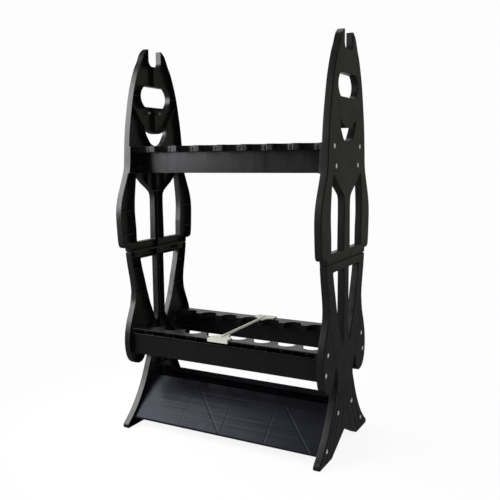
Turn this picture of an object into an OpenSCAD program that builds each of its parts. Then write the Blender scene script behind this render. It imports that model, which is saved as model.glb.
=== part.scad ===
// Flat-pack fishing rod rack: two fish-shaped side frames, four notched rails, two butt boards and a tie bar.
// Millimetres. X runs along the rails, -Y is the front, Z is up, and the floor is at Z = 0.

/* [Overall] */
// Width over both side frames
rack_w = 550; // [430:1:700]
// Thickness of a side frame
frame_t = 17; // [15:0.5:22]
// Height of the seam between the upper and the lower side panels
seam_z = 456.5; // [448:0.5:480]
// Reach of a foot from the centre line
foot_y = 160; // [158:1:190]

/* [Side panel walls] */
// Thickness of the outer skin
skin_t = 3; // [2:0.1:4]
// Thickness of the rims and of the walls round the openings
wall_t = 2.6; // [1.8:0.1:3.2]
// Thickness of the stiffening ribs
rib_t = 2.2; // [1.4:0.1:3]
// How far the ribs stand below the rims
rib_drop = 4; // [1:0.5:6]
// Depth of the creases that bound the hip lobes
crease_d = 0.8; // [0.4:0.1:1.6]
// Width of the creases
crease_w = 1.8; // [1:0.1:3]
// Depth of the fin rays on the tail
ray_d = 1.2; // [0.4:0.1:1.5]
// Width of the fin rays
ray_w = 2.4; // [1:0.1:3]
// Number of fin rays on each side of the centre line
ray_n = 3; // [2:1:5]
// Distance that the rays keep from the edge of the tail
ray_rim = 4; // [3:0.5:8]
// How far the rim stands proud beside the upper rails
rim_rise = 4; // [1:0.5:6]
// Radius of the two studs below the hand hole
stud_r = 3.5; // [2:0.1:5]
// Distance of the studs from the centre line
stud_y = 22; // [14:0.5:30]
// Distance of the studs below the flat edge of the hand hole
stud_drop = 14; // [10:0.5:16]

/* [Side panel openings] */
// Height of the centre of the hand hole above the seam
eye_up = 393.5; // [385:0.5:400]
// Half width of the hand hole
eye_ry = 63; // [50:0.5:66]
// Half height that the curved sides of the hand hole would reach
eye_rz = 39; // [32:0.5:44]
// Half height of the hand hole between its flat edges
eye_flat = 26; // [20:0.5:30]
// Height of the horn tips above the seam
horn_up = 513.5; // [505:0.5:520]
// Half width of the mouth notch between the horns
mouth_half = 26; // [18:0.5:27]
// Depth of the mouth notch
mouth_depth = 42; // [30:0.5:48]
// Corner radius of the mouth notch
mouth_r = 15; // [8:0.5:17]
// Height of the tips of the smile opening above the seam
smile_up = 317.5; // [310:0.5:322]
// Half width of the smile opening
smile_half = 49.5; // [40:0.5:54]
// Sag of the top edge of the smile opening
smile_sag = 18; // [10:0.5:22]
// Height of the smile opening from its tips to its lowest point
smile_h = 50; // [42:0.5:54]
// Half width of the bar between the two upper slots
stem_half = 19; // [14:0.5:24]
// Height of the lower edge of the upper slots above the seam
slot_foot_up = 23.5; // [20:0.5:30]
// Drop from the foot of the upper rails to the tips of the upper slots
slot_tip_drop = 2.5; // [2:0.5:12]
// Half width of the bar between the two lower slots
low_stem_half = 15.5; // [12:0.5:18]
// Drop from the seam to the upper edge of the lower slots
low_slot_drop = 20.5; // [20:0.5:28]

/* [Rails] */
// Height of the top of the upper rails
upper_rail_z = 722.5; // [712:0.5:726]
// Distance from the centre line to the straight edge of the upper rails
upper_rail_y = 64; // [56:0.5:66]
// Height of the top of the lower rails
lower_rail_z = 261; // [240:0.5:270]
// Distance from the centre line to the straight edge of the lower rails
lower_rail_y = 131; // [124:0.5:140]
// Width of a rail across its shelf
rail_w = 46; // [42:0.5:50]
// Height of the shelf of a rail
shelf_h = 15; // [13:0.5:18]
// Height of a rail with its apron
rail_h = 66.5; // [58:0.5:68]
// Thickness of the top plate, the apron and the notched wall
rail_t = 3; // [2:0.1:3.6]
// Thickness of the floor of the shelf
floor_t = 2.5; // [1.6:0.1:3]
// Setback of the apron from the straight edge
apron_in = 3; // [1:0.5:4]
// Number of rod notches in a rail
notch_n = 8; // [4:2:10]
// Radius of a rod notch
notch_r = 22.25; // [16:0.25:23]
// Depth of a rod notch
notch_depth = 25; // [23:0.5:27]
// Corner radius of the lands beside a notch
land_r = 4; // [2:0.5:5]
// Thickness of the dividers in the shelf
divider_t = 2; // [1.2:0.1:3]
// Thickness of the closed ends of the shelf
end_t = 9; // [4:0.5:12]

/* [Boards] */
// Distance from the centre line to the upper edge of a board
board_y = 40; // [36:0.5:48]
// Height of the upper edge of a board
board_z = 112; // [108:0.5:118]
// Slope of a board
board_slope = 43.8; // [41:0.1:46]
// Length of a board down the slope
board_l = 130; // [118:0.5:134]
// Thickness of a board over its walls
board_t = 14; // [12:0.5:16]
// Thickness of the skin and the walls of a board
board_skin = 3; // [2:0.1:3.6]
// How far the skin reaches past the lower wall of a board
board_lip = 9; // [6:0.5:12]
// Thickness of the truss ribs under a board
truss_t = 2; // [1.2:0.1:3]
// Spacing of the cross ribs under a board
truss_pitch = 120; // [80:1:125]

/* [Tie bar] */
// Width of a clip of the tie bar
clip_w = 55; // [40:0.5:60]
// Thickness of the plate of a clip
clip_t = 3; // [2:0.1:4]
// Thickness of the lip that hooks over a rail
lip_t = 4.5; // [3:0.1:6]
// Height of the lip over the straight edge of a rail
lip_h = 9; // [6:0.5:12]
// Diameter of the rod between the clips
tie_d = 6.6; // [6:0.1:10]

/* [Screws] */
// Radius of the head of a cross-piece screw
head_r = 5.85; // [4.5:0.05:6]
// Height of the head of a cross-piece screw
head_h = 4; // [2.4:0.1:4.2]
// Bevel round the head of a cross-piece screw
head_round = 0.9; // [0.4:0.1:1.6]
// Depth of the counterbore for a head
bore_depth = 4.4; // [4.2:0.1:6]
// Radius of the shank of a cross-piece screw
shank_r = 2; // [1.5:0.05:2.4]
// Length of a screw inside a cross piece
bite = 18; // [12:0.5:24]
// Radial clearance round a head
head_gap = 0.35; // [0.2:0.05:0.5]
// Radial clearance round a shank in a side frame
shank_gap = 0.3; // [0.15:0.05:0.5]
// Radial clearance round a thread in its boss
thread_gap = 0.05; // [0.03:0.01:0.1]
// Wall of the boss round a counterbore
head_wall = 2; // [1.2:0.1:3]
// Wall of a boss round a thread
boss_wall = 2.2; // [1.6:0.1:2.5]
// Radius of the head of a seam screw
seam_head_r = 3.6; // [2.8:0.1:4.2]
// Height of the head of a seam screw
seam_head_h = 2.2; // [1.6:0.1:3]
// Radius of the shank of a seam screw
seam_shank_r = 1.5; // [1.2:0.05:1.8]

/* [Seam] */
// Half width of the panels at the seam
seam_half = 126; // [124:0.5:130]
// Height of the shadow gap on each side of the seam
reveal_h = 1.2; // [0.6:0.1:1.6]
// Depth of the shadow gap on the outer face
reveal_d = 3; // [2:0.1:4]
// Depth of the shadow gap on the edges of a frame
reveal_end = 1.4; // [0.6:0.1:1.6]
// Distance of the outer tabs from the centre line
tab_y = 96; // [80:0.5:104]
// Width of a tab
tab_w = 24; // [18:0.5:28]
// Length of a tab below the seam
tab_l = 16; // [13:0.5:18]
// Thickness of a tab
tab_t = 3; // [2:0.1:4]
// Clearance round a tab in its recess
tab_gap = 0.3; // [0.15:0.05:0.5]

/* [Hidden] */

CHARCOAL = "#2c2c2a";
GREY = "#4b4b50";
CREAM = "#dedccb";
STEEL = "#d9dadb";

// Straight pieces per stretch of an outline, and sides of a full circle
STEPS = 4;
ROUND = 48;
// Overshoot of a cutting body past the face that it opens
OVER = 1;

// Length of the cross pieces between the two side frames
span = rack_w - 2 * frame_t;
// Distance between the rod notches along a rail
pitch = span / notch_n;
boss_r = shank_r + boss_wall;
// Places of the two screws in a rail end: across from the straight edge, and down from the top
SHELF_SCREW = [19, 7.25];
APRON_SCREW = [apron_in + boss_r, 50.75];
// Places of the two screws in a board end: down the slope, and in from the top face
BOARD_SCREWS = [[14, 6.6], [111, 6.6]];
// Lower edge of a board
board_end_y = board_y + board_l * cos(board_slope);

// Outlines and curves

// Point of a smooth curve between b and c, with neighbours a and d
function between(a, b, c, d, t) =
    0.5 * ((2 * b) + (c - a) * t + (2 * a - 5 * b + 4 * c - d) * t * t + (3 * b - a - 3 * c + d) * t * t * t);
// Smooth curve through a list of points
function curve(p) = [
    for (i = [0 : len(p) - 2])
        for (k = [0 : STEPS - 1])
            between(p[max(i - 1, 0)], p[i], p[i + 1], p[min(i + 2, len(p) - 1)], k / STEPS),
    p[len(p) - 1]
];
// Closed outline from its right half, listed from the bottom to the top
function both_sides(half) = concat(
    half,
    [for (i = [len(half) - 1 : -1 : 0]) if (half[i][0] > 0) [-half[i][0], half[i][1]]]
);
function inward(a, b) = let (d = (b - a) / norm(b - a)) [-d[1], d[0]];
// Anticlockwise outline moved outwards by d, or inwards where d is negative
function grown(p, d) = [
    for (i = [0 : len(p) - 1])
        let (m = inward(p[(i + len(p) - 1) % len(p)], p[i]) + inward(p[i], p[(i + 1) % len(p)]))
            p[i] - d * m / max(m * m / 2, 0.5)
];
// Outline of a band of width w along a line of points
function beside(p, i) = inward(p[max(i - 1, 0)], p[min(i + 1, len(p) - 1)]);
function band(p, w) = concat(
    [for (i = [0 : len(p) - 1]) p[i] + w / 2 * beside(p, i)],
    [for (i = [len(p) - 1 : -1 : 0]) p[i] - w / 2 * beside(p, i)]
);

// Upper panel: half widths and heights above the seam, from the shoulder to the tip of a horn
// below(t) runs from the seam at 0 to the top of the upper rails at 1, above(t) from there to the horn tips
rail_up = upper_rail_z - seam_z;
slot_tip_up = rail_up - rail_h - slot_tip_drop;
cheek_y = upper_rail_y + rail_w + 8;
// Past the widest place of the upper panel
past_y = 1.35 * seam_half;
function below(t) = t * rail_up;
function above(t) = rail_up + t * (horn_up - rail_up);
UPPER_SIDE = [
    [143, 12], [151, 17], [154.5, 30], [157, below(0.23)], [158.3, below(0.35)], [156.3, below(0.44)],
    [150, below(0.53)], [140, below(0.62)], [128.5, below(0.72)], [cheek_y + 3.5, below(0.81)],
    [cheek_y, below(0.975)], [cheek_y - 5.5, above(0.175)], [103, above(0.375)], [91, above(0.57)],
    [72.5, above(0.76)], [58, above(0.855)], [45, above(0.95)], [34, horn_up - 3]
];
function upper_outline() = both_sides(concat(
    [[seam_half, seam_z], [seam_half + 1.5, seam_z + 11.5]],
    [for (p = curve(UPPER_SIDE)) [p[0], seam_z + p[1]]],
    [[30, seam_z + horn_up]]
));

// Lower panel: the tail and foot, the hip lobe and the flank
// tail(t) runs from the floor at 0 to the top of the tail at 1, slot_rise(t) over the height of the lower slots
slit_z = lower_rail_z - 47;
tail_z = slit_z - 30;
low_slot_top = seam_z - low_slot_drop;
function tail(t) = t * tail_z;
function slot_rise(t) = lower_rail_z + t * (low_slot_top - lower_rail_z);
TAIL_SIDE = [
    [foot_y, 5], [foot_y - 4, 13], [142, tail(0.133)], [118.5, tail(0.26)], [100.5, tail(0.39)], [85, tail(0.52)],
    [72.5, tail(0.65)], [62, tail(0.78)], [53, tail(0.9)], [50, tail_z]
];
LOBE_SIDE = [
    [68, slit_z - 12], [73, slit_z - 24], [77, slit_z - 35], [84, slit_z - 45.5], [95, slit_z - 52],
    [108, slit_z - 52], [120.5, slit_z - 47], [130.5, slit_z - 38]
];
hip_y = lower_rail_y + 11;
FLANK_SIDE = [
    [hip_y - 5, slit_z - 25.5], [hip_y - 1.2, slit_z - 8], [hip_y, slit_z + 11], [hip_y - 1.2, slit_z + 27],
    [hip_y - 4, slit_z + 42], [hip_y - 11.5, slit_z + 66], [119.8, slot_rise(0.25)], [111.6, slot_rise(0.38)],
    [109.2, slot_rise(0.515)], [111.8, slot_rise(0.655)], [116.7, slot_rise(0.795)], [121.5, slot_rise(0.93)],
    [seam_half - 0.5, seam_z - 8]
];
SLIT_TOP = [63, slit_z];
foot_arch_y = 86;
foot_arch_z = 44;
function lower_outline() = both_sides(concat(
    [[0, foot_arch_z], [foot_arch_y, 0], [foot_y - 3, 0]],
    curve(TAIL_SIDE),
    [[54, slit_z - 17], SLIT_TOP],
    curve(concat(LOBE_SIDE, FLANK_SIDE)),
    [[seam_half, seam_z]]
));

// Openings of the upper panel, each grown by d for the wall round it
module eye2d(d) {
    a = asin(min((eye_flat + d) / (eye_rz + d), 1));
    side = [for (t = [-a : a / 8 : a + 0.001]) [(eye_ry + d) * cos(t), (eye_rz + d) * sin(t)]];
    translate([0, seam_z + eye_up]) polygon(concat(side, [for (p = side) -p]));
}
module mouth2d(d) {
    low = seam_z + horn_up - mouth_depth + mouth_r;
    for (s = [-1, 1]) translate([s * (mouth_half - mouth_r), low]) circle(mouth_r + d, $fn = ROUND);
    translate([mouth_r - mouth_half, low - mouth_r - d]) square([2 * (mouth_half - mouth_r), mouth_r + d]);
    translate([-mouth_half - d, low]) square([2 * (mouth_half + d), mouth_depth]);
}
function smile_outline() = let (
    top = [for (k = [8 : -1 : 1]) [smile_half * k / 8, smile_up - smile_sag * (1 - k * k / 64)]],
    edge = curve([[0, -smile_h], [14, 2 - smile_h], [27, 7.5 - smile_h], [smile_half - 14, 17 - smile_h],
        [smile_half - 3, 33 - smile_h], [smile_half, 0]]),
    right = concat([for (p = edge) [p[0], p[1] + smile_up]], [for (i = [1 : 7]) top[i]], [[0, smile_up - smile_sag]])
) [for (p = both_sides(right)) [p[0], p[1] + seam_z]];
function slot_up(t) = slot_foot_up + t * (slot_tip_up - slot_foot_up);
function upper_slot_outline() = [
    for (p = concat(
        [[stem_half + 1.5, slot_foot_up], [97.5, slot_foot_up]],
        curve([
            [98.5, slot_up(0.21)], [102, slot_up(0.44)], [101, slot_up(0.61)], [98, slot_up(0.76)],
            [94, slot_tip_up - 14], [90, slot_tip_up - 2]
        ]),
        [[86, slot_tip_up - 1]],
        curve([
            [58, slot_up(0.855)], [34, slot_up(0.765)], [stem_half + 3, slot_up(0.7)], [stem_half, slot_up(0.61)],
            [stem_half, slot_up(0.44)]
        ])
    )) [p[0], p[1] + seam_z]
];
module upper_openings2d(d) {
    eye2d(d);
    mouth2d(d);
    polygon(grown(smile_outline(), d));
    polygon(grown(upper_slot_outline(), d));
    mirror([1, 0]) polygon(grown(upper_slot_outline(), d));
}
function lower_slot_outline() = concat(
    [[83, low_slot_top], [low_stem_half, low_slot_top], [low_stem_half, slot_rise(0.086)], [21, lower_rail_z + 1]],
    [[26, lower_rail_z]],
    curve([[49, slot_rise(0.29)], [60, slot_rise(0.485)], [70, slot_rise(0.68)], [79, slot_rise(0.85)],
        [85, low_slot_top - 2]])
);
module lower_openings2d(d) {
    polygon(grown(lower_slot_outline(), d));
    mirror([1, 0]) polygon(grown(lower_slot_outline(), d));
}

// Straight rib from a to b
module rib2d(a, b) {
    translate(a) rotate(atan2(b[1] - a[1], b[0] - a[0])) translate([0, -rib_t / 2]) square([norm(b - a), rib_t]);
}
module rib_pair2d(a, b) {
    rib2d(a, b);
    mirror([1, 0]) rib2d(a, b);
}
module upper_ribs2d() {
    eye_z = seam_z + eye_up;
    tip_z = seam_z + smile_up;
    rib2d([0, eye_z], [0, seam_z + horn_up - mouth_depth]);
    rib2d([0, seam_z], [0, eye_z]);
    rib_pair2d([smile_half, tip_z], [94, eye_z - 20]);
    rib_pair2d([eye_ry, eye_z], [100, eye_z]);
    rib_pair2d([26, tip_z - smile_h + 6], [stem_half + 20, seam_z + slot_up(0.82)]);
    rib_pair2d([0, seam_z + slot_up(0.73)], [stem_half + 12, seam_z + slot_up(0.73)]);
    rib_pair2d([90, seam_z + slot_up(0.47)], [past_y, seam_z + slot_up(0.47)]);
    rib_pair2d([90, seam_z + slot_up(0.13)], [past_y, seam_z + slot_up(0.13)]);
    rib_pair2d([88, seam_z + slot_tip_up], [112, upper_rail_z - rail_h]);
}
module lower_ribs2d() {
    rib2d([0, foot_arch_z], [0, seam_z]);
    rib_pair2d([60, slot_rise(0.485)], [115, slot_rise(0.485)]);
    rib_pair2d([79, slot_rise(0.85)], [124, slot_rise(0.85)]);
    rib_pair2d([0, slot_rise(0.8)], [low_stem_half + 4, slot_rise(0.8)]);
    rib_pair2d([0, slot_rise(0.4)], [low_stem_half + 4, slot_rise(0.4)]);
    rib_pair2d([24, lower_rail_z + 1], SLIT_TOP);
    rib_pair2d([0, tail_z + 6], [50, tail_z]);
    rib_pair2d([0, tail_z + 6], [lower_rail_y - rail_w, lower_rail_z - shelf_h]);
    rib_pair2d([0, tail(0.7)], [66, tail(0.73)]);
}

// Ends of the cross pieces, drawn where they meet the inner face of a side frame
// A rail end: s = 1 with its straight edge towards the centre line, s = -1 with it outwards
module rail_place2d(edge_y, top_z, s) {
    for (side = [0, 1]) mirror([side, 0]) translate([edge_y, top_z]) mirror([s < 0 ? 1 : 0, 0]) children();
}
module rail_seat2d() {
    difference() {
        translate([0, -shelf_h]) square([rail_w, shelf_h]);
        translate([wall_t, wall_t - shelf_h]) square([rail_w - 2 * wall_t, shelf_h - 2 * wall_t]);
    }
    translate([apron_in, -rail_h]) square([rail_t, rail_h - shelf_h]);
}
module board_place2d() {
    for (side = [0, 1]) mirror([side, 0]) translate([board_y, board_z]) rotate(-board_slope) children();
}
module board_seat2d() {
    difference() {
        translate([0, -board_t]) square([board_l - board_lip, board_t]);
        translate([wall_t, wall_t - board_t]) square([board_l - board_lip - 2 * wall_t, board_t - 2 * wall_t]);
    }
}
module rail_screw_places2d() {
    for (p = [SHELF_SCREW, APRON_SCREW]) translate([p[0], -p[1]]) children();
}
module board_screw_places2d() {
    for (p = BOARD_SCREWS) translate([p[0], -p[1]]) children();
}
module upper_seats2d() {
    rail_place2d(upper_rail_y, upper_rail_z, 1) rail_seat2d();
}
module lower_seats2d() {
    rail_place2d(lower_rail_y, lower_rail_z, -1) rail_seat2d();
    board_place2d() board_seat2d();
}
// A round at every cross-piece screw of the upper or the lower panel
module upper_screw_rounds2d(r) {
    rail_place2d(upper_rail_y, upper_rail_z, 1) rail_screw_places2d() circle(r, $fn = ROUND);
}
module lower_screw_rounds2d(r) {
    rail_place2d(lower_rail_y, lower_rail_z, -1) rail_screw_places2d() circle(r, $fn = ROUND);
    board_place2d() board_screw_places2d() circle(r, $fn = ROUND);
}
module seam_screw_rounds2d(r) {
    for (y = [-tab_y, 0, tab_y]) translate([y, seam_z - tab_l / 2]) circle(r, $fn = ROUND);
}

// Side panels, drawn with the outer face at X = 0 and the open back towards +X

// A flat shape in the plane of a panel, made solid from x0 to x1
module slab(x0, x1) {
    translate([x0, 0, 0]) rotate([90, 0, 90]) linear_extrude(x1 - x0) children();
}
module upper_panel() {
    difference() {
        slab(0, frame_t) difference() {
            polygon(upper_outline());
            upper_openings2d(0);
            upper_screw_rounds2d(shank_r + shank_gap);
        }
        slab(skin_t, frame_t - rib_drop) upper_pocket2d() upper_ribs2d();
        slab(frame_t - rib_drop, frame_t + OVER) upper_pocket2d();
        slab(-OVER, bore_depth) upper_screw_rounds2d(head_r + head_gap);
        seam_reveal(seam_z - OVER);
    }
    difference() {
        for (y = [-tab_y, 0, tab_y])
            translate([frame_t - tab_t, y - tab_w / 2, seam_z - tab_l]) cube([tab_t, tab_w, tab_l + wall_t / 2]);
        slab(0, frame_t + OVER) seam_screw_rounds2d(seam_shank_r + shank_gap);
    }
    slab(frame_t - wall_t, frame_t + rim_rise) raised_rim2d();
    for (y = [-stud_y, stud_y]) translate([skin_t / 2, y, seam_z + eye_up - eye_flat - stud_drop]) rotate([0, 90, 0])
        cylinder(h = frame_t - rib_drop - skin_t / 2, r = stud_r, $fn = ROUND);
}
// The part of the rim that stands proud beside the rail ends
module raised_rim2d() {
    intersection() {
        difference() {
            polygon(upper_outline());
            polygon(grown(upper_outline(), -wall_t));
        }
        for (s = [0, 1]) mirror([s, 0]) translate([upper_rail_y, upper_rail_z - rail_h]) square([2 * rail_w, rail_h]);
    }
}
module upper_pocket2d() {
    difference() {
        polygon(grown(upper_outline(), -wall_t));
        upper_openings2d(wall_t);
        upper_seats2d();
        upper_screw_rounds2d(head_r + head_gap + head_wall);
        children();
    }
}
module lower_panel() {
    difference() {
        slab(0, frame_t) difference() {
            polygon(lower_outline());
            lower_openings2d(0);
            lower_screw_rounds2d(shank_r + shank_gap);
        }
        slab(skin_t, frame_t - rib_drop) lower_pocket2d() lower_ribs2d();
        slab(frame_t - rib_drop, frame_t + OVER) lower_pocket2d();
        slab(-OVER, bore_depth) lower_screw_rounds2d(head_r + head_gap);
        for (y = [-tab_y, 0, tab_y])
            translate([frame_t - tab_t - tab_gap, y - tab_w / 2 - tab_gap, seam_z - tab_l - tab_gap])
                cube([tab_t + tab_gap + OVER, tab_w + 2 * tab_gap, tab_l + tab_gap + OVER]);
        slab(skin_t, frame_t) seam_screw_rounds2d(seam_shank_r + thread_gap);
        creases();
        fin_rays();
        seam_reveal(seam_z - reveal_h);
    }
}
// Half of the shadow gap that parts the two panels for the eye, with a body that starts at height low
module seam_reveal(low) {
    translate([-OVER, -past_y, low]) cube([OVER + reveal_d, 2 * past_y, reveal_h + OVER]);
    for (s = [0, 1]) mirror([0, s, 0])
        translate([-OVER, seam_half - reveal_end, low]) cube([frame_t + 2 * OVER, past_y, reveal_h + OVER]);
}
module lower_pocket2d() {
    difference() {
        polygon(grown(lower_outline(), -wall_t));
        lower_openings2d(wall_t);
        lower_seats2d();
        lower_screw_rounds2d(head_r + head_gap + head_wall);
        seam_screw_rounds2d(seam_shank_r + thread_gap + boss_wall);
        children();
    }
}
// Creases on the outer face from the flanks to the slits beside the hip lobes
CREASE = [
    [115, slot_rise(0.45)], [101, slot_rise(0.27)], [91, slot_rise(0.13)], [82, slit_z + 48], [74, slit_z + 26],
    SLIT_TOP - [2, 5]
];
module creases() {
    slab(-OVER, crease_d) {
        polygon(band(curve(CREASE), crease_w));
        mirror([1, 0]) polygon(band(curve(CREASE), crease_w));
    }
}
// Fin rays that fan out over the tail, drawn from the outermost one: its places, and how the rest gather at its side
RAY_SIDE = [
    [48, tail(0.83)], [50, tail(0.66)], [62.5, tail(0.53)], [79, tail(0.39)], [91, tail(0.28)],
    [103, tail(0.17)], [126, tail(0.04)]
];
RAY_GATHER = [1, 1, 0.9, 0.78, 0.7, 0.63, 0.6];
function ray(share) = [
    for (i = [0 : len(RAY_SIDE) - 1]) [RAY_SIDE[i][0] * pow(share, RAY_GATHER[i]), RAY_SIDE[i][1]]
];
module fin_rays() {
    intersection() {
        slab(-OVER, ray_d) for (i = [1 : ray_n]) {
            share = (2 * i - 1) / (2 * ray_n - 1);
            polygon(band(curve(ray(share)), ray_w));
            mirror([1, 0]) polygon(band(curve(ray(share)), ray_w));
        }
        slab(-2 * OVER, 2 * ray_d) polygon(grown(lower_outline(), -ray_rim));
    }
}

// s = 1 is the right side frame, s = -1 the left one
module side(s) {
    mirror([s > 0 ? 1 : 0, 0, 0]) translate([-rack_w / 2, 0, 0]) children();
}

// Rail, drawn with its top at Z = 0, its straight edge along Y = 0 and its notches towards +Y

module notch2d(grow) {
    deep = rail_w - notch_depth + notch_r;
    half = notch_r + grow;
    translate([0, deep]) circle(half, $fn = ROUND);
    translate([-half, deep]) square([2 * half, rail_w - deep + OVER]);
    for (s = [0, 1]) mirror([s, 0]) difference() {
        translate([half - 0.01, rail_w - grow - land_r]) square([land_r + 0.01, land_r + OVER + grow]);
        translate([half + land_r, rail_w - grow - land_r]) circle(land_r, $fn = ROUND);
    }
}
module notches2d(grow) {
    for (i = [0 : notch_n - 1]) translate([(i + 0.5) * pitch - span / 2, 0]) notch2d(grow);
}
module shelf_pocket2d() {
    difference() {
        translate([-span / 2 + end_t, -OVER]) square([span - 2 * end_t, rail_w - rail_t + OVER]);
        notches2d(rail_t);
        for (i = [1 : notch_n - 1]) translate([i * pitch - span / 2 - divider_t / 2, 1]) square([divider_t, rail_w]);
    }
}
module rail_bosses(r, l) {
    for (end = [-1, 1])
        for (p = [SHELF_SCREW, APRON_SCREW])
            translate([end * (span / 2 - l / 2), p[0], -p[1]]) rotate([0, 90, 0])
                cylinder(h = l, r = r, center = true, $fn = ROUND);
}
module rail() {
    difference() {
        union() {
            difference() {
                translate([0, 0, -shelf_h]) linear_extrude(shelf_h) difference() {
                    translate([-span / 2, 0]) square([span, rail_w]);
                    notches2d(0);
                }
                translate([0, 0, floor_t - shelf_h]) linear_extrude(shelf_h - floor_t - rail_t) shelf_pocket2d();
            }
            translate([-span / 2, apron_in, -rail_h]) cube([span, rail_t, rail_h - shelf_h + floor_t / 2]);
            rail_bosses(boss_r, bite + 3);
        }
        rail_bosses(shank_r + thread_gap, bite + 1);
    }
}
module rail_at(edge_y, top_z, front, outward) {
    mirror([0, front ? 1 : 0, 0]) translate([0, edge_y, top_z]) mirror([0, outward ? 0 : 1, 0]) rail();
}

// Board, drawn with its top face in the plane Z = 0, running down the slope towards +Y

module board_bosses(r, l) {
    for (end = [-1, 1])
        for (p = BOARD_SCREWS)
            translate([end * (span / 2 - l / 2), p[0], -p[1]]) rotate([0, 90, 0])
                cylinder(h = l, r = r, center = true, $fn = ROUND);
}
module truss2d() {
    bays = floor((span / 2 - 10) / truss_pitch);
    for (i = [-bays : bays]) translate([i * truss_pitch - truss_t / 2, 0]) square([truss_t, board_l]);
    for (i = [-bays : bays - 1]) {
        up = i % 2 == 0;
        a = [i * truss_pitch, up ? board_l : 0];
        b = [(i + 1) * truss_pitch, up ? 0 : board_l];
        translate(a) rotate(atan2(b[1] - a[1], b[0] - a[0]))
            translate([0, -truss_t / 2]) square([norm(b - a), truss_t]);
    }
    for (y = [31, 80, 99]) translate([-span / 2, y - truss_t / 2]) square([span, truss_t]);
}
module board() {
    difference() {
        union() {
            difference() {
                union() {
                    translate([-span / 2, 0, -board_skin]) cube([span, board_l, board_skin]);
                    translate([-span / 2, 0, -board_t]) cube([span, board_l - board_lip, board_t]);
                }
                translate([0, 0, -board_t - OVER]) linear_extrude(board_t - board_skin + OVER) difference() {
                    translate([-span / 2 + board_skin, board_skin])
                        square([span - 2 * board_skin, board_l - board_lip - 2 * board_skin]);
                    truss2d();
                }
            }
            board_bosses(boss_r, bite + 3);
        }
        board_bosses(shank_r + thread_gap, bite + 1);
    }
}
module board_at(front) {
    mirror([0, front ? 1 : 0, 0]) translate([0, board_y, board_z]) rotate([-board_slope, 0, 0]) board();
}

// Tie bar, laid over the middle lands of the lower rails

module clip2d() {
    inner = lower_rail_y - rail_w;
    arc_y = inner + notch_depth - notch_r;
    arc_r = notch_r + 1.2;
    difference() {
        translate([-clip_w / 2, inner]) square([clip_w, rail_w + lip_t]);
        for (s = [-1, 1]) {
            translate([s * pitch / 2, arc_y]) circle(arc_r, $fn = ROUND);
            translate([s * pitch / 2 - arc_r, inner - OVER]) square([2 * arc_r, arc_y - inner + OVER]);
        }
    }
}
module tie_bar_shape() {
    rod_z = lower_rail_z + tie_d / 2 + 0.1;
    for (side = [0, 1]) mirror([0, side, 0]) {
        translate([0, 0, lower_rail_z]) linear_extrude(clip_t) clip2d();
        translate([-clip_w / 2, lower_rail_y, lower_rail_z + clip_t - lip_h]) cube([clip_w, lip_t, lip_h]);
        translate([0, lower_rail_y - rail_w + 18, rod_z]) rotate([-90, 0, 0])
            cylinder(h = 14, r1 = tie_d / 2, r2 = 1.2, $fn = ROUND);
    }
    translate([0, 0, rod_z]) rotate([90, 0, 0])
        cylinder(h = 2 * (lower_rail_y - rail_w + 18), r = tie_d / 2, center = true, $fn = ROUND);
}

// Screws, each drawn with its head towards -X and its seat at X = 0

module cross_screw() {
    difference() {
        union() {
            translate([-head_h, 0, 0]) rotate([0, 90, 0])
                cylinder(h = head_round, r1 = head_r - head_round, r2 = head_r, $fn = ROUND);
            translate([head_round - head_h, 0, 0]) rotate([0, 90, 0])
                cylinder(h = head_h - head_round, r = head_r, $fn = ROUND);
            rotate([0, 90, 0]) cylinder(h = frame_t - bore_depth + bite, r = shank_r, $fn = ROUND);
        }
        for (a = [0, 90]) translate([-head_h, 0, 0]) rotate([a, 0, 0])
            cube([2.6, 1.3, head_r], center = true);
    }
}
module seam_screw() {
    difference() {
        union() {
            rotate([0, 90, 0]) cylinder(h = seam_head_h, r = seam_head_r, $fn = ROUND);
            translate([-(tab_t + 9), 0, 0]) rotate([0, 90, 0]) cylinder(h = tab_t + 9, r = seam_shank_r, $fn = ROUND);
        }
        for (a = [0, 90]) translate([seam_head_h, 0, 0]) rotate([a, 0, 0])
            cube([1.8, 0.9, seam_head_r], center = true);
    }
}
// Two screws in the end of a rail on side frame s
module rail_screws(s, edge_y, top_z, front, outward) {
    side(s) mirror([0, front ? 1 : 0, 0])
        for (p = [SHELF_SCREW, APRON_SCREW])
            translate([bore_depth, edge_y + (outward ? 1 : -1) * p[0], top_z - p[1]]) cross_screw();
}
module board_screws(s, front) {
    side(s) mirror([0, front ? 1 : 0, 0])
        for (p = BOARD_SCREWS)
            translate([bore_depth, board_y, board_z]) rotate([-board_slope, 0, 0]) translate([0, p[0], -p[1]])
                cross_screw();
}
module seam_screws(s) {
    side(s) for (y = [-tab_y, 0, tab_y]) translate([frame_t, y, seam_z - tab_l / 2]) seam_screw();
}

// Sub-parts

module upper_panel_left() { color(CHARCOAL) side(-1) upper_panel(); }
module upper_panel_right() { color(CHARCOAL) side(1) upper_panel(); }
module lower_panel_left() { color(CHARCOAL) side(-1) lower_panel(); }
module lower_panel_right() { color(CHARCOAL) side(1) lower_panel(); }
module upper_front_rail() { color(GREY) rail_at(upper_rail_y, upper_rail_z, true, true); }
module upper_rear_rail() { color(GREY) rail_at(upper_rail_y, upper_rail_z, false, true); }
module lower_front_rail() { color(GREY) rail_at(lower_rail_y, lower_rail_z, true, false); }
module lower_rear_rail() { color(GREY) rail_at(lower_rail_y, lower_rail_z, false, false); }
module front_board() { color(GREY) board_at(true); }
module rear_board() { color(GREY) board_at(false); }
module tie_bar() { color(CREAM) tie_bar_shape(); }
module upper_screws(s, front) { color(STEEL) rail_screws(s, upper_rail_y, upper_rail_z, front, true); }
module lower_screws(s, front) { color(STEEL) rail_screws(s, lower_rail_y, lower_rail_z, front, false); }

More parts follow.
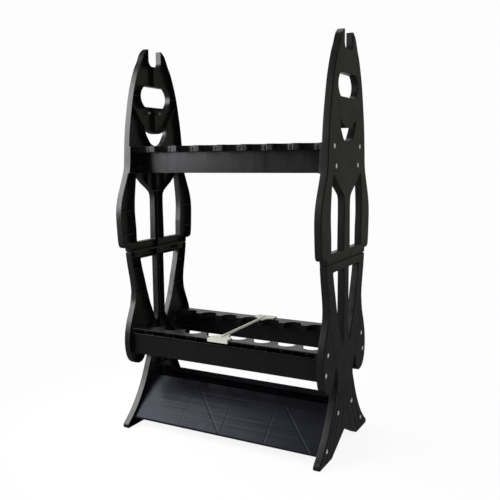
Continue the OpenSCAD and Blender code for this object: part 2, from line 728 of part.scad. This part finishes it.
upper_panel_left();
upper_panel_right();
lower_panel_left();
lower_panel_right();
upper_front_rail();
upper_rear_rail();
lower_front_rail();
lower_rear_rail();
front_board();
rear_board();
tie_bar();
upper_screws(-1, true);  // upper_front_screws_left
upper_screws(1, true);  // upper_front_screws_right
upper_screws(-1, false);  // upper_rear_screws_left
upper_screws(1, false);  // upper_rear_screws_right
lower_screws(-1, true);  // lower_front_screws_left
lower_screws(1, true);  // lower_front_screws_right
lower_screws(-1, false);  // lower_rear_screws_left
lower_screws(1, false);  // lower_rear_screws_right
color(STEEL) board_screws(-1, true);  // front_board_screws_left
color(STEEL) board_screws(1, true);  // front_board_screws_right
color(STEEL) board_screws(-1, false);  // rear_board_screws_left
color(STEEL) board_screws(1, false);  // rear_board_screws_right
color(STEEL) seam_screws(-1);  // seam_screws_left
color(STEEL) seam_screws(1);  // seam_screws_right
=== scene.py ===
"""Looks of the fishing rod rack: moulded plastic finishes, softened edges, studio and camera."""
import math

import bpy
from mathutils import Euler, Matrix, Vector


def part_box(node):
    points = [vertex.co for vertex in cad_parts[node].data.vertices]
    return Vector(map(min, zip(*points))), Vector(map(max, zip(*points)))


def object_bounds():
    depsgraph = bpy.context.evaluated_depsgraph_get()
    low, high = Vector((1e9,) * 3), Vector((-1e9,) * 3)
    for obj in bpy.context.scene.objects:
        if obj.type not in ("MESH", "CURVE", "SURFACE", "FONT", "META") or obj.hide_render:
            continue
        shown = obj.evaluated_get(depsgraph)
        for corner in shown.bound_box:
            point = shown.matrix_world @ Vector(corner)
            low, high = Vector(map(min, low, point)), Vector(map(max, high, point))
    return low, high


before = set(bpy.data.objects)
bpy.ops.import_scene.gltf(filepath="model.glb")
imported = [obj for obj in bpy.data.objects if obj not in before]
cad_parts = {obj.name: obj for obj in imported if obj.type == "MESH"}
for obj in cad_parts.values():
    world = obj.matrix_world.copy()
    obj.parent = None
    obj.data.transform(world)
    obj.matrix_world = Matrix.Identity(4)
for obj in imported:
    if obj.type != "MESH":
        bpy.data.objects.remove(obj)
CAD_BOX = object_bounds()

MM = 0.001

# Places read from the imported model
RACK_HIGH = CAD_BOX[1]
OUTER_X = RACK_HIGH.x
SEAM_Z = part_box("lower_panel_left")[1].z
BOARD_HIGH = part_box("front_board")[1]

# Camera, solved from the photograph: focal length and square frame in pixels, place, and turns in radians
FOCAL_PX = 661.72
FRAME_PX = 500
SENSOR_MM = 36.0
EYE = (0.79796, -1.44851, 0.68695)
YAW, PITCH, ROLL = 0.4935, 0.1356, -0.0091
CLIP_END = 50

# Side frame: the studs below the hand hole, and the pale colour painted over them as a highlight
STUD_R = 3.5 * MM
STUD_Y = 22 * MM
STUD_Z = SEAM_Z + 353.5 * MM
STUD_HIGHLIGHT_MARGIN = 0.3 * MM
STUD_HIGHLIGHT_INSET = 5 * MM
STUD_HIGHLIGHT_TONE = 0.16

# Board: its slope, and the ribs whose sink marks show through its skin, as distances down the slope
BOARD_SLOPE = math.radians(43.8)
BOARD_LENGTH = 130 * MM
BOARD_DEPTH = 14 * MM
BOARD_TOP_Y = abs(BOARD_HIGH.y) + BOARD_DEPTH * math.sin(BOARD_SLOPE)
TRUSS_PITCH = 120 * MM
LONG_RIBS = (31 * MM, 80 * MM, 99 * MM)

# Board: half widths of the marks, their depth, and their levels as shares of that depth
TRUSS_MARK = 3.2 * MM
LONG_MARK = 4 * MM
SINK_DEPTH = 0.3 * MM
TRUSS_LEVEL = 0.2
LONG_LEVEL = -0.3
FLOW_LEVEL = 1.6
FLOW_SCALE = (3, 90, 90)
FLAT_LEVEL = 9

# Board: faces turned away from the slope are dull and plain, and so is the lip
SAME_WAY = 0.98
DULL_LIP = 4 * MM
DULL = 0.9

# Noise scales of the plastics and of the screws, in waves per metre, and the range that noise fills
CLOUDS = 9
WAVES = 14
STREAKS = 26
SPECKLE = 700
GRAIN = 1400
TARNISH = 160
SCRATCHES = 420
PITS = 900
NOISE_LOW, NOISE_HIGH = 0.3, 0.7
TONE_LOW, TONE_HIGH = 0.35, 0.65

# Plastics and screws: share of the speckle in the tone, depths and strengths of the relief, metal look
SPECKLE_SHARE = 0.3
WAVE_DEPTH = 0.6 * MM
WAVE_STRENGTH = 0.5
GRAIN_STRENGTH = 0.4
PIT_DEPTH = 0.02 * MM
PIT_STRENGTH = 0.5
SCREW_METAL = 0.3

# Edges: width of the rounding by kind of piece, and how sharp edges and deep walls are told
EDGE_WIDTH = {"panel": 2.4 * MM, "rail": 0.5 * MM, "board": 0.3 * MM, "tie_bar": 0.5 * MM,
              "screws": 0.25 * MM, "seam_screws": 0.25 * MM}
SHARP = math.radians(35)
WALL_REACH = 6 * MM
SMALL_SHARE = 0.16
BEVEL_STEPS = 3
WELD_GAP = 0.01 * MM
STRAIGHT_GAP = 0.05 * MM
FACE_GAP = 0.1 * MM
SEAM_GAP = 0.3 * MM

# Studio: radiance of the photograph's white, and of the lit floor before it is lifted to that white
BACKGROUND = 0.982
PAPER_LIGHT = 0.63
PAPER_TONE = 0.85
SHADOW_FADE = (0.25, 0.75)


# Camera

def make_camera():
    data = bpy.data.cameras.new("camera")
    data.sensor_fit = "HORIZONTAL"
    data.sensor_width = SENSOR_MM
    data.lens = FOCAL_PX / FRAME_PX * SENSOR_MM
    data.clip_end = CLIP_END
    camera = bpy.data.objects.new("camera", data)
    turn = Euler((0, 0, YAW)).to_matrix() @ Euler((math.pi / 2 - PITCH, 0, 0)).to_matrix()
    turn = turn @ Euler((0, 0, ROLL)).to_matrix()
    camera.matrix_world = Matrix.Translation(EYE) @ turn.to_4x4()
    bpy.context.scene.collection.objects.link(camera)
    bpy.context.scene.camera = camera


# Node trees of the materials

class Tree:
    """A material's node tree, with one short call for each kind of node that the finishes use."""

    def __init__(self, name):
        self.material = bpy.data.materials.new(name)
        self.material.use_nodes = True
        self.nodes = self.material.node_tree.nodes
        self.links = self.material.node_tree.links
        self.shader = self.nodes["Principled BSDF"]
        self.place = self.nodes.new("ShaderNodeTexCoord").outputs["Object"]

    def put(self, socket, value):
        if isinstance(value, bpy.types.NodeSocket):
            self.links.new(value, socket)
        else:
            socket.default_value = value

    def paint(self, name, value):
        self.put(self.shader.inputs[name], value)

    def painted(self, name):
        return self.shader.inputs[name].links[0].from_socket

    def math(self, operation, a, b=0.0, c=0.0):
        node = self.nodes.new("ShaderNodeMath")
        node.operation = operation
        for socket, value in zip(node.inputs, (a, b, c)):
            self.put(socket, value)
        return node.outputs[0]

    def times(self, a, b):
        return self.math("MULTIPLY", a, b)

    def away(self, value, middle):
        """Distance of a value from a middle."""
        return self.math("ABSOLUTE", self.math("SUBTRACT", value, middle))

    def split(self):
        node = self.nodes.new("ShaderNodeSeparateXYZ")
        self.put(node.inputs[0], self.place)
        return node.outputs

    def scaled(self, factors):
        node = self.nodes.new("ShaderNodeMapping")
        self.put(node.inputs["Vector"], self.place)
        node.inputs["Scale"].default_value = factors
        return node.outputs[0]

    def noise(self, scale, detail=3, roughness=0.5, vector=None):
        node = self.nodes.new("ShaderNodeTexNoise")
        self.put(node.inputs["Vector"], vector or self.place)
        node.inputs["Scale"].default_value = scale
        node.inputs["Detail"].default_value = detail
        node.inputs["Roughness"].default_value = roughness
        return node.outputs["Fac"]

    def spread(self, value, low, high, to_low, to_high, smooth=False):
        node = self.nodes.new("ShaderNodeMapRange")
        if smooth:
            node.interpolation_type = "SMOOTHSTEP"
        for socket, setting in zip(node.inputs, (value, low, high, to_low, to_high)):
            self.put(socket, setting)
        return node.outputs[0]

    def blend(self, factor, a, b):
        node = self.nodes.new("ShaderNodeMix")
        node.data_type = "RGBA"
        self.put(node.inputs["Factor"], factor)
        self.put(node.inputs["A"], a)
        self.put(node.inputs["B"], b)
        return node.outputs["Result"]

    def bump(self, height, distance, strength=1.0, below=None):
        node = self.nodes.new("ShaderNodeBump")
        node.inputs["Strength"].default_value = strength
        node.inputs["Distance"].default_value = distance
        self.put(node.inputs["Height"], height)
        if below is not None:
            self.put(node.inputs["Normal"], below)
        return node.outputs["Normal"]


def grey(value, tint=(1.0, 1.0, 1.0)):
    return tuple(value * t for t in tint) + (1.0,)


# Finishes

def moulded(name, dark, light, gloss, grain, specular, upright=1.0):
    """Moulded plastic: cloudy tone, fine grain and a slight waviness. Gloss is the lowest and highest
    roughness, and upright below 1 draws its patches out into upright streaks."""
    tree = Tree(name)
    clouds = tree.noise(CLOUDS, detail=4, roughness=0.6)
    speckle = tree.noise(SPECKLE, detail=2)
    tone = tree.math("ADD", tree.times(clouds, 1 - SPECKLE_SHARE), tree.times(speckle, SPECKLE_SHARE))
    tree.paint("Base Color", tree.blend(tree.spread(tone, TONE_LOW, TONE_HIGH, 0, 1), dark, light))
    streaks = tree.noise(STREAKS, detail=5, roughness=0.65, vector=tree.scaled((1, 1, upright)))
    tree.paint("Roughness", tree.spread(streaks, NOISE_LOW, NOISE_HIGH, *gloss))
    tree.paint("Specular IOR Level", specular)
    waves = tree.bump(tree.noise(WAVES, detail=1), WAVE_DEPTH, strength=WAVE_STRENGTH)
    tree.paint("Normal", tree.bump(tree.noise(GRAIN, detail=2), grain, strength=GRAIN_STRENGTH, below=waves))
    return tree


def side_finish():
    """Side frame plastic, with a painted highlight: pale colour over the two studs below each hand hole."""
    tree = moulded("side_finish", dark=grey(0.006, (1.0, 1.0, 0.9)), light=grey(0.010, (1.0, 1.0, 0.84)),
                   gloss=(0.3, 0.42), grain=0.06 * MM, specular=0.7)
    x, y, z = tree.split()
    across = tree.math("SUBTRACT", tree.math("ABSOLUTE", y), STUD_Y)
    above = tree.math("SUBTRACT", z, STUD_Z)
    away = tree.math("SQRT", tree.math("ADD", tree.times(across, across), tree.times(above, above)))
    inside = tree.math("LESS_THAN", tree.math("ABSOLUTE", x), OUTER_X - STUD_HIGHLIGHT_INSET)
    # Painted highlight: each whole stud on the inner face is painted pale, standing in for the light it
    # catches
    stud_highlight = tree.times(inside, tree.math("LESS_THAN", away, STUD_R + STUD_HIGHLIGHT_MARGIN))
    tree.paint("Base Color", tree.blend(stud_highlight, tree.painted("Base Color"), grey(STUD_HIGHLIGHT_TONE)))
    return tree


def rail_finish():
    return moulded("rail_finish", dark=grey(0.004), light=grey(0.007), gloss=(0.24, 0.42), grain=0.03 * MM,
                   specular=0.5, upright=0.25)


def truss_distance(tree, x, down):
    """Distance from the nearest truss rib: straight ones across the board and slanted ones between them."""
    bay = tree.math("DIVIDE", x, TRUSS_PITCH)
    whole = tree.math("MAXIMUM", -1.0, tree.math("MINIMUM", 1.0, tree.math("ROUND", bay)))
    straight = tree.times(tree.away(bay, whole), TRUSS_PITCH)
    climb = tree.math("FLOORED_MODULO", tree.math("ADD", bay, 1.0), 2.0)
    lean = math.cos(math.atan2(BOARD_LENGTH, TRUSS_PITCH))
    slanted = tree.times(tree.away(down, tree.times(climb, BOARD_LENGTH)), lean)
    return tree.math("MINIMUM", straight, slanted)


def board_finish(name, forward):
    """Board plastic with the sink marks of the ribs below its skin. Forward is the sign of the way that the
    board faces in Y."""
    tree = moulded(name, dark=grey(0.006, (0.92, 0.94, 1.25)), light=grey(0.010, (0.9, 0.93, 1.35)),
                   gloss=(0.28, 0.38), grain=0.03 * MM, specular=0.25)
    tree.paint("Specular Tint", (0.82, 0.85, 1.0, 1.0))
    x, y = tree.split()[:2]
    run = tree.math("SUBTRACT", tree.math("ABSOLUTE", y), BOARD_TOP_Y)
    down = tree.math("DIVIDE", run, math.cos(BOARD_SLOPE))
    truss = truss_distance(tree, x, down)
    long_ribs = [tree.away(down, rib) for rib in LONG_RIBS]
    along = tree.math("MINIMUM", tree.math("MINIMUM", long_ribs[0], long_ribs[1]), long_ribs[2])

    facing = tree.nodes.new("ShaderNodeVectorMath")
    facing.operation = "DOT_PRODUCT"
    tree.put(facing.inputs[0], tree.nodes.new("ShaderNodeNewGeometry").outputs["True Normal"])
    tree.put(facing.inputs[1], (0, forward * math.sin(BOARD_SLOPE), math.cos(BOARD_SLOPE)))
    elsewhere = tree.math("LESS_THAN", facing.outputs["Value"], SAME_WAY)

    marks = tree.math("ADD", tree.spread(truss, 0, TRUSS_MARK, TRUSS_LEVEL, 1, smooth=True),
                      tree.spread(along, 0, LONG_MARK, LONG_LEVEL, 0, smooth=True))
    flow = tree.times(tree.noise(1, detail=3, vector=tree.scaled(FLOW_SCALE)), FLOW_LEVEL)
    height = tree.math("MAXIMUM", tree.math("ADD", marks, flow), tree.times(elsewhere, FLAT_LEVEL))
    tree.paint("Normal", tree.bump(height, SINK_DEPTH, below=tree.painted("Normal")))

    lip = tree.math("GREATER_THAN", down, BOARD_LENGTH - DULL_LIP)
    dull = tree.times(tree.math("MAXIMUM", elsewhere, lip), DULL)
    tree.paint("Roughness", tree.math("MAXIMUM", tree.painted("Roughness"), dull))
    return tree


def cream_finish():
    return moulded("cream_finish", dark=grey(0.61, (1.0, 1.01, 0.84)), light=grey(0.65, (1.0, 1.01, 0.85)),
                   gloss=(0.45, 0.55), grain=0.03 * MM, specular=0.4)


def screw_finish(name, dark, light, gloss):
    """Clouded steel with an uneven shine."""
    tree = Tree(name)
    cloudy = tree.noise(TARNISH, detail=4, roughness=0.7)
    tree.paint("Base Color", tree.blend(cloudy, dark, light))
    tree.paint("Roughness", tree.spread(tree.noise(SCRATCHES, detail=3), NOISE_LOW, NOISE_HIGH, *gloss))
    tree.paint("Metallic", SCREW_METAL)
    return tree


def steel_finish():
    """Zinc plated steel, pale and faintly pitted."""
    tree = screw_finish("steel_finish", dark=grey(0.82), light=grey(0.95, (0.97, 0.98, 1.0)),
                        gloss=(0.34, 0.55))
    tree.paint("Normal", tree.bump(tree.noise(PITS, detail=2), PIT_DEPTH, strength=PIT_STRENGTH))
    return tree


def dark_steel_finish():
    """Very dark steel of the seam screws, hardly seen against the frames."""
    return screw_finish("dark_steel_finish", dark=grey(0.02), light=grey(0.04), gloss=(0.4, 0.6))


# Softened edges of the CAD nodes, made by modifiers

def geometry_tree(name):
    group = bpy.data.node_groups.new(name, "GeometryNodeTree")
    group.interface.new_socket("Geometry", in_out="INPUT", socket_type="NodeSocketGeometry")
    group.interface.new_socket("Geometry", in_out="OUTPUT", socket_type="NodeSocketGeometry")
    return group, group.nodes.new("NodeGroupInput").outputs[0], group.nodes.new("NodeGroupOutput").inputs[0]


def add_node(group, kind, settings=(), values=()):
    node = group.nodes.new(kind)
    for name, value in settings:
        setattr(node, name, value)
    for index, value in values:
        if isinstance(value, bpy.types.NodeSocket):
            group.links.new(value, node.inputs[index])
        else:
            node.inputs[index].default_value = value
    return node


def number(group, operation, a, b=0.0):
    return add_node(group, "ShaderNodeMath", [("operation", operation)], [(0, a), (1, b)]).outputs[0]


def moved_to(group, domain, value):
    """A yes or no field carried over to the edges or the points."""
    settings = [("data_type", "BOOLEAN"), ("domain", domain)]
    return add_node(group, "GeometryNodeFieldOnDomain", settings, [(0, value)]).outputs[0]


def weight_tree():
    """Weights each edge for the bevel: full where a deep wall meets the outer face and at the ends of the
    seam, and small on other sharp edges."""
    group, start, end = geometry_tree("edge_weights")
    ends = add_node(group, "GeometryNodeInputMeshEdgeVertices")
    along = add_node(group, "ShaderNodeVectorMath", [("operation", "SUBTRACT")],
                     [(0, ends.outputs["Position 1"]), (1, ends.outputs["Position 2"])]).outputs[0]
    parts = add_node(group, "ShaderNodeSeparateXYZ", values=[(0, along)]).outputs
    reach = number(group, "ABSOLUTE", parts["X"])
    length = add_node(group, "ShaderNodeVectorMath", [("operation", "LENGTH")],
                      [(0, along)]).outputs["Value"]
    deep = number(group, "GREATER_THAN", reach, WALL_REACH)
    straight = number(group, "LESS_THAN", number(group, "SUBTRACT", length, reach), STRAIGHT_GAP)
    is_wall = number(group, "MULTIPLY", deep, straight)
    beside_walls = moved_to(group, "POINT", moved_to(group, "EDGE", is_wall))

    place = add_node(group, "GeometryNodeInputPosition").outputs[0]
    middle = add_node(group, "ShaderNodeSeparateXYZ", values=[(0, place)]).outputs
    outer = number(group, "GREATER_THAN", number(group, "ABSOLUTE", middle["X"]), OUTER_X - FACE_GAP)
    shallow = number(group, "LESS_THAN", reach, WALL_REACH)
    rim = number(group, "MULTIPLY", number(group, "MULTIPLY", beside_walls, outer), shallow)
    off_seam = number(group, "ABSOLUTE", number(group, "SUBTRACT", middle["Z"], SEAM_Z))
    seam_end = number(group, "MULTIPLY", is_wall, number(group, "LESS_THAN", off_seam, SEAM_GAP))
    full = number(group, "MAXIMUM", rim, seam_end)

    angle = add_node(group, "GeometryNodeInputMeshEdgeAngle").outputs["Unsigned Angle"]
    is_sharp = number(group, "GREATER_THAN", angle, SHARP)
    weight = number(group, "ADD", SMALL_SHARE, number(group, "MULTIPLY", full, 1 - SMALL_SHARE))
    store = add_node(group, "GeometryNodeStoreNamedAttribute", [("data_type", "FLOAT"), ("domain", "EDGE")])
    group.links.new(start, store.inputs["Geometry"])
    store.inputs["Name"].default_value = "bevel_weight_edge"
    group.links.new(number(group, "MULTIPLY", weight, is_sharp), store.inputs["Value"])
    group.links.new(store.outputs[0], end)
    return group


def smooth_tree():
    """Smooth shading, with the sharp edges kept."""
    group, start, end = geometry_tree("smooth_by_angle")
    faces = add_node(group, "GeometryNodeSetShadeSmooth", [("domain", "FACE")])
    group.links.new(start, faces.inputs["Geometry"])
    faces.inputs["Shade Smooth"].default_value = True
    angle = add_node(group, "GeometryNodeInputMeshEdgeAngle").outputs["Unsigned Angle"]
    edges = add_node(group, "GeometryNodeSetShadeSmooth", [("domain", "EDGE")])
    group.links.new(faces.outputs[0], edges.inputs["Geometry"])
    group.links.new(number(group, "LESS_THAN", angle, SHARP), edges.inputs["Shade Smooth"])
    group.links.new(edges.outputs[0], end)
    return group


def soften(node, width, smooth, weights):
    """Rounds the edges of a CAD node by modifiers, so that they catch the light."""
    weld = node.modifiers.new("weld", "WELD")
    weld.merge_threshold = WELD_GAP
    if weights:
        node.modifiers.new("weights", "NODES").node_group = weights
    bevel = node.modifiers.new("bevel", "BEVEL")
    bevel.width = width
    bevel.segments = BEVEL_STEPS
    bevel.use_clamp_overlap = False
    bevel.loop_slide = False
    bevel.limit_method = "WEIGHT" if weights else "ANGLE"
    bevel.angle_limit = SHARP
    bevel.miter_outer = "MITER_ARC"
    node.modifiers.new("smooth", "NODES").node_group = smooth
    normals = node.modifiers.new("normals", "WEIGHTED_NORMAL")
    normals.keep_sharp = True


def kind_of(name):
    """Kind of piece that a CAD node is, by its name."""
    if "screws" in name:
        return "seam_screws" if "seam" in name else "screws"
    for kind in ("panel", "rail", "board"):
        if kind in name:
            return kind
    return name


def dress():
    """Gives every CAD node its finish and its softened edges."""
    finishes = {"panel": side_finish(), "rail": rail_finish(), "tie_bar": cream_finish(),
                "screws": steel_finish(), "seam_screws": dark_steel_finish(),
                "front_board": board_finish("board_finish_front", -1),
                "rear_board": board_finish("board_finish_rear", 1)}
    smooth = smooth_tree()
    weights = weight_tree()
    for name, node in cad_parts.items():
        kind = kind_of(name)
        finish = finishes[name if kind == "board" else kind]
        node.data.materials.clear()
        node.data.materials.append(finish.material)
        soften(node, EDGE_WIDTH[kind], smooth, weights if kind == "panel" else None)


# Studio

def seen_by(nodes, links, names):
    """1 for rays of the named kinds, 0 for the rest."""
    path = nodes.new("ShaderNodeLightPath")
    total = path.outputs[names[0]]
    for name in names[1:]:
        either = nodes.new("ShaderNodeMath")
        either.operation = "MAXIMUM"
        links.new(total, either.inputs[0])
        links.new(path.outputs[name], either.inputs[1])
        total = either.outputs[0]
    return total


def plain(nodes, kind, level):
    """A shader of one even grey."""
    shader = nodes.new(kind)
    shader.inputs["Color"].default_value = grey(level)
    return shader.outputs[0]


def mixed(nodes, links, factor, a, b):
    """Shader a where the factor is 0, b where it is 1."""
    mix = nodes.new("ShaderNodeMixShader")
    if isinstance(factor, bpy.types.NodeSocket):
        links.new(factor, mix.inputs[0])
    else:
        mix.inputs[0].default_value = factor
    links.new(a, mix.inputs[1])
    links.new(b, mix.inputs[2])
    return mix.outputs[0]


def make_world(ambient, mirrored):
    """White for the camera, an even dim room for gloss and soft light for the rest."""
    world = bpy.data.worlds.new("world")
    bpy.context.scene.world = world
    world.use_nodes = True
    nodes, links = world.node_tree.nodes, world.node_tree.links
    nodes.clear()
    levels = (ambient, mirrored, BACKGROUND)
    soft, room, white = (plain(nodes, "ShaderNodeBackground", level) for level in levels)
    lit = mixed(nodes, links, seen_by(nodes, links, ["Is Glossy Ray"]), soft, room)
    lit = mixed(nodes, links, seen_by(nodes, links, ["Is Camera Ray", "Is Transmission Ray"]), lit, white)
    links.new(lit, nodes.new("ShaderNodeOutputWorld").inputs[0])


def make_floor(size, shade, mirrored):
    """Pale floor, as white as the background to the camera, apart from a soft shadow that fades with
    distance. Shade is the strength of the shadow, and mirrored is what gloss sees of the floor."""
    half = size / 2
    corners = [(-half, -half, 0), (half, -half, 0), (half, half, 0), (-half, half, 0)]
    mesh = bpy.data.meshes.new("floor")
    mesh.from_pydata(corners, [], [(0, 1, 2, 3)])
    floor = bpy.data.objects.new("floor", mesh)
    bpy.context.scene.collection.objects.link(floor)
    material = bpy.data.materials.new("floor_finish")
    material.use_nodes = True
    nodes, links = material.node_tree.nodes, material.node_tree.links
    nodes.clear()
    paper = plain(nodes, "ShaderNodeBsdfDiffuse", PAPER_TONE)
    levels = (BACKGROUND, (BACKGROUND - shade * PAPER_LIGHT) / (1 - shade), mirrored)
    white, lifted, dim = (plain(nodes, "ShaderNodeEmission", level) for level in levels)
    away = nodes.new("ShaderNodeVectorMath")
    away.operation = "LENGTH"
    links.new(nodes.new("ShaderNodeTexCoord").outputs["Object"], away.inputs[0])
    fade = nodes.new("ShaderNodeMapRange")
    fade.interpolation_type = "SMOOTHSTEP"
    for socket, value in zip(fade.inputs[1:5], (*SHADOW_FADE, 0.0, 1.0)):
        socket.default_value = value
    links.new(away.outputs["Value"], fade.inputs[0])
    shaded = mixed(nodes, links, shade, lifted, paper)
    near = mixed(nodes, links, fade.outputs[0], shaded, white)
    lit = mixed(nodes, links, seen_by(nodes, links, ["Is Camera Ray", "Is Transmission Ray"]), paper, near)
    lit = mixed(nodes, links, seen_by(nodes, links, ["Is Glossy Ray"]), lit, dim)
    links.new(lit, nodes.new("ShaderNodeOutputMaterial").inputs[0])
    mesh.materials.append(material)


def softbox(name, azimuth, elevation, size, radiance, tint=(1.0, 1.0, 1.0), distance=2.4):
    """Soft light of an even radiance that faces the rack from a direction, in degrees from +X and up."""
    width, height = size
    data = bpy.data.lights.new(name, "AREA")
    data.shape = "RECTANGLE"
    data.size = width
    data.size_y = height
    data.energy = radiance * math.pi * width * height
    data.color = tint
    light = bpy.data.objects.new(name, data)
    turn, lift = math.radians(azimuth), math.radians(elevation)
    out = Vector((math.cos(turn) * math.cos(lift), math.sin(turn) * math.cos(lift), math.sin(lift)))
    place = Vector((0, 0, RACK_HIGH.z / 2)) + out * distance
    light.matrix_world = Matrix.Translation(place) @ out.to_track_quat("Z", "Y").to_matrix().to_4x4()
    bpy.context.scene.collection.objects.link(light)


def make_studio():
    make_world(ambient=0.55, mirrored=0.05)
    make_floor(size=14, shade=0.15, mirrored=0.1)
    softbox("window", azimuth=213.5, elevation=25, size=(1.3, 1.08), radiance=5.0, tint=(0.99, 1.0, 1.04),
            distance=1.49)
    softbox("rear left", azimuth=124, elevation=14, size=(2.4, 2.0), radiance=0.6)
    softbox("overhead", azimuth=90, elevation=72, size=(1.6, 1.2), radiance=1.2)
    softbox("rear right", azimuth=61, elevation=20, size=(2.6, 2.6), radiance=0.105, tint=(1.0, 1.0, 0.78))


make_camera()
dress()
make_studio()

bpy.context.scene.view_settings.view_transform = "Standard"
